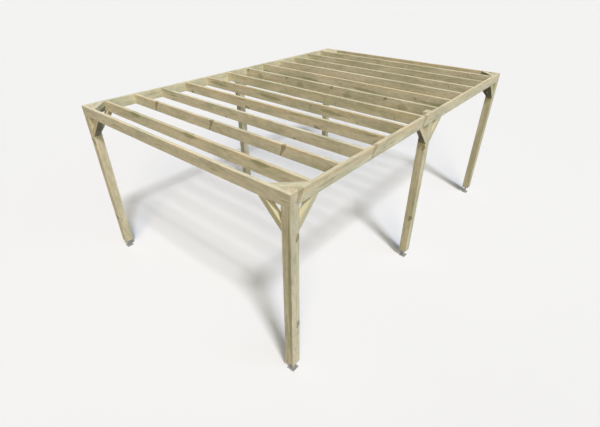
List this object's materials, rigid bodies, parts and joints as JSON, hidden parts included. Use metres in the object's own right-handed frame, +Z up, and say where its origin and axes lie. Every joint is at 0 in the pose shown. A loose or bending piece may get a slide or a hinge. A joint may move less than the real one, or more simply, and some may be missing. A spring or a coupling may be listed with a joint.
{
  "type": "pergola",
  "caption": "Free-standing open timber pergola frame: square posts on steel feet, a flush ring of beams with rafters level inside it, and mitred knee and corner braces.",
  "frame": {"origin": "on the floor below the middle of the frame (centre of the bounding box's bottom)", "axes": "+X along the length of the frame, -Y is the open front and +Y the side that faces the house, +Z up"},
  "size_m": [5.8, 3.93, 2.47],
  "materials": {
    "timber_post": "planed softwood, pressure treated, slightly green",
    "timber_board": "planed softwood, pressure treated, pale yellow",
    "timber_brace": "planed softwood, pressure treated",
    "foot_steel": "hot-dip galvanised, dull grey"
  },
  "bodies": {
    "root": {"post_front_left": "timber_post", "post_front_middle": "timber_post", "post_front_right": "timber_post", "post_back_left": "timber_post", "post_back_middle": "timber_post", "post_back_right": "timber_post", "beam_front": "timber_board", "beam_front_second": "timber_board", "beam_back": "timber_board", "beam_back_second": "timber_board", "beam_left": "timber_board", "beam_right": "timber_board", "rafter_01": "timber_board", "rafter_02": "timber_board", "rafter_03": "timber_board", "rafter_04": "timber_board", "rafter_05": "timber_board", "rafter_06": "timber_board", "rafter_07": "timber_board", "rafter_08": "timber_board", "rafter_09": "timber_board", "rafter_10": "timber_board", "rafter_11": "timber_board", "rafter_12": "timber_board", "knee_front_left_along": "timber_brace", "knee_front_left_across": "timber_brace", "knee_front_middle_left": "timber_brace", "knee_front_right_along": "timber_brace", "knee_front_right_across": "timber_brace", "knee_front_middle_right": "timber_brace", "knee_back_left_along": "timber_brace", "knee_back_left_across": "timber_brace", "knee_back_middle_left": "timber_brace", "knee_back_right_along": "timber_brace", "knee_back_right_across": "timber_brace", "knee_back_middle_right": "timber_brace", "corner_brace_front_left": "timber_brace", "corner_brace_front_right": "timber_brace", "corner_brace_back_left": "timber_brace", "corner_brace_back_right": "timber_brace", "foot_front_left": "foot_steel", "foot_front_middle": "foot_steel", "foot_front_right": "foot_steel", "foot_back_left": "foot_steel", "foot_back_middle": "foot_steel", "foot_back_right": "foot_steel"}
  },
  "joints": []
}
